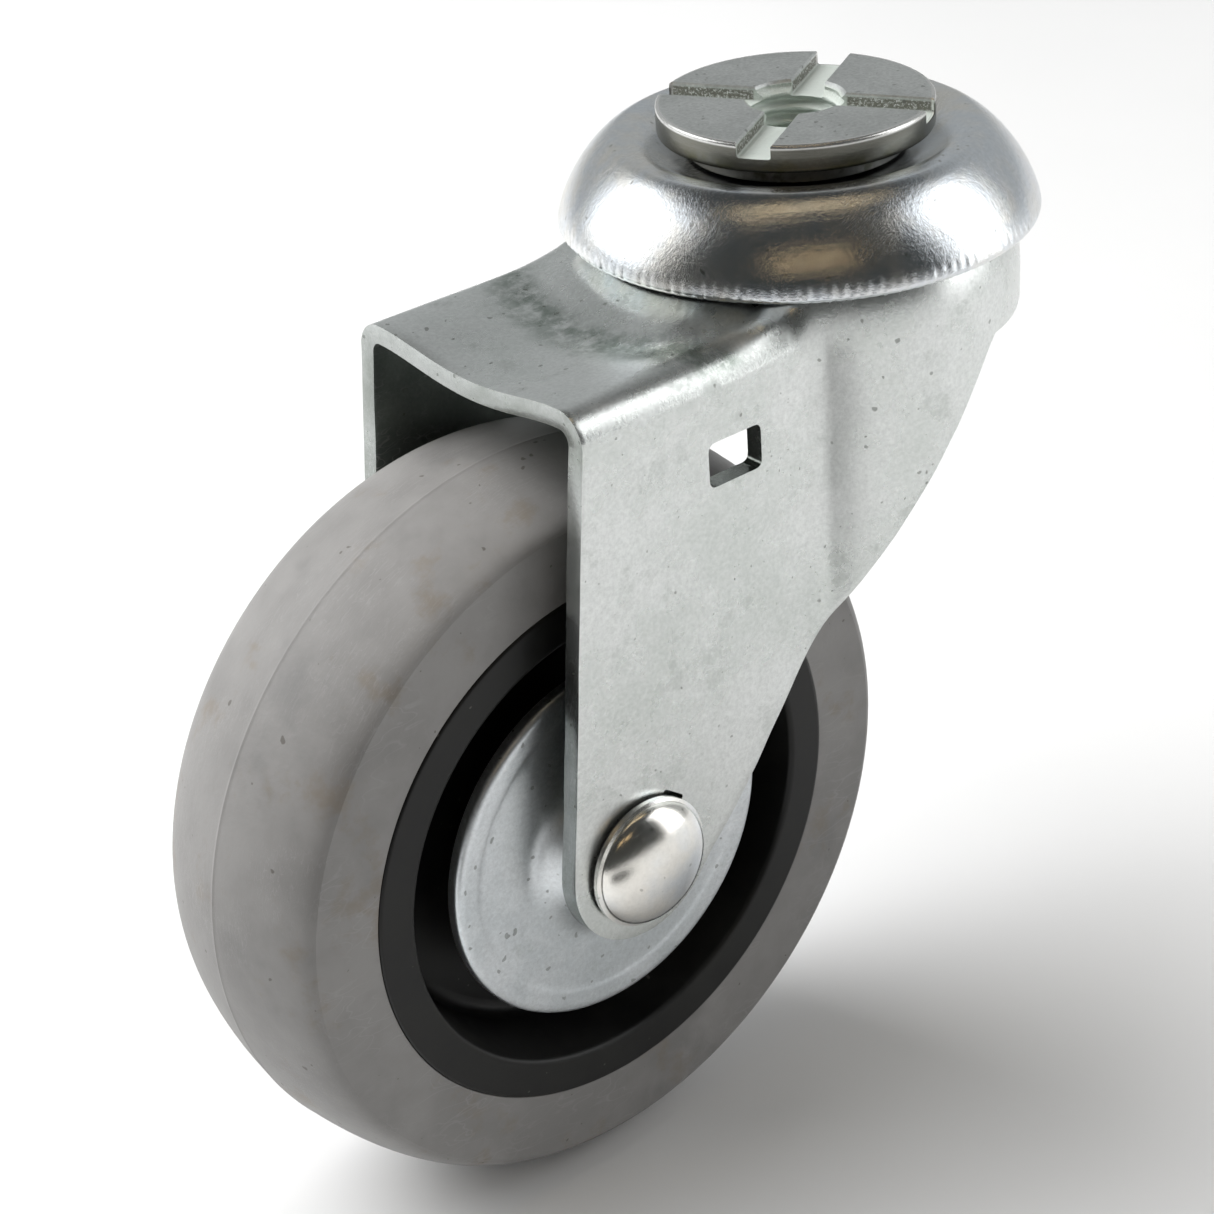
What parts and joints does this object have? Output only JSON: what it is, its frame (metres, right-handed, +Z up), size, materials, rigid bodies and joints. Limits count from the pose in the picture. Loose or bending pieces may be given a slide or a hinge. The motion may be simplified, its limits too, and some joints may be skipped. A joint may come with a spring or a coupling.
{
  "type": "swivel castor",
  "caption": "Swivel castor with a threaded, slotted king pin head, a pressed zinc-plated fork and a grey rubber wheel on a black hub.",
  "frame": {"origin": "centre of the threaded hole at the king pin head's top face", "axes": "+Z up along the swivel axis, out of the bolt hole; the wheel trails towards -X; the axle lies along Y with its domed head on the -Y side"},
  "size_m": [0.1043, 0.0509, 0.1048],
  "materials": {
    "turned_steel": "turned, zinc plated, dull",
    "bright_zinc": "bright zinc plated",
    "zinc_sheet": "zinc plated pressed sheet, satin",
    "guard_zinc": "blue-white zinc plated sheet, satin",
    "ball_steel": "polished bearing steel",
    "grey_rubber": "matte moulded grey rubber",
    "black_nylon": "matte black moulded nylon",
    "white_acetal": "natural white moulded acetal"
  },
  "bodies": {
    "head": {"king_pin": "turned_steel", "head_cap": "bright_zinc", "lower_race": "bright_zinc"},
    "fork_body": {"fork": "zinc_sheet", "axle_bolt": "bright_zinc", "axle_nut": "bright_zinc", "nut_lock_ring": "white_acetal", "axle_tube": "turned_steel", "thread_guard_left": "guard_zinc", "thread_guard_right": "guard_zinc"},
    "wheel": {"tyre": "grey_rubber", "hub": "black_nylon", "hub_bush_left": "white_acetal", "hub_bush_right": "white_acetal"},
    "upper_ball_ring": {"upper_ball_01": "ball_steel", "upper_ball_02": "ball_steel", "upper_ball_03": "ball_steel", "upper_ball_04": "ball_steel", "upper_ball_05": "ball_steel", "upper_ball_06": "ball_steel", "upper_ball_07": "ball_steel", "upper_ball_08": "ball_steel", "upper_ball_09": "ball_steel", "upper_ball_10": "ball_steel", "upper_ball_11": "ball_steel", "upper_ball_12": "ball_steel", "upper_ball_13": "ball_steel", "upper_ball_14": "ball_steel", "upper_ball_15": "ball_steel", "upper_ball_16": "ball_steel", "upper_ball_17": "ball_steel", "upper_ball_18": "ball_steel", "upper_ball_19": "ball_steel", "upper_ball_20": "ball_steel"},
    "lower_ball_ring": {"lower_ball_01": "ball_steel", "lower_ball_02": "ball_steel", "lower_ball_03": "ball_steel", "lower_ball_04": "ball_steel", "lower_ball_05": "ball_steel", "lower_ball_06": "ball_steel", "lower_ball_07": "ball_steel", "lower_ball_08": "ball_steel", "lower_ball_09": "ball_steel", "lower_ball_10": "ball_steel", "lower_ball_11": "ball_steel", "lower_ball_12": "ball_steel", "lower_ball_13": "ball_steel", "lower_ball_14": "ball_steel"}
  },
  "joints": [
    {"name": "swivel", "type": "hinge", "parent": "head", "child": "fork_body", "pos_m": [0, 0, 0], "axis": [0, 0, 1], "continuous": true},
    {"name": "wheel_spin", "type": "hinge", "parent": "fork_body", "child": "wheel", "pos_m": [-0.0396, 0, -0.06484], "axis": [0, 1, 0], "continuous": true},
    {"name": "upper_balls_roll", "type": "hinge", "parent": "head", "child": "upper_ball_ring", "pos_m": [0, 0, 0], "axis": [0, 0, 1], "continuous": true},
    {"name": "lower_balls_roll", "type": "hinge", "parent": "head", "child": "lower_ball_ring", "pos_m": [0, 0, 0], "axis": [0, 0, 1], "continuous": true}
  ],
  "couplings": [
    {"joint": "upper_balls_roll", "follows": "swivel", "ratio": 0.5},
    {"joint": "lower_balls_roll", "follows": "swivel", "ratio": 0.5}
  ]
}
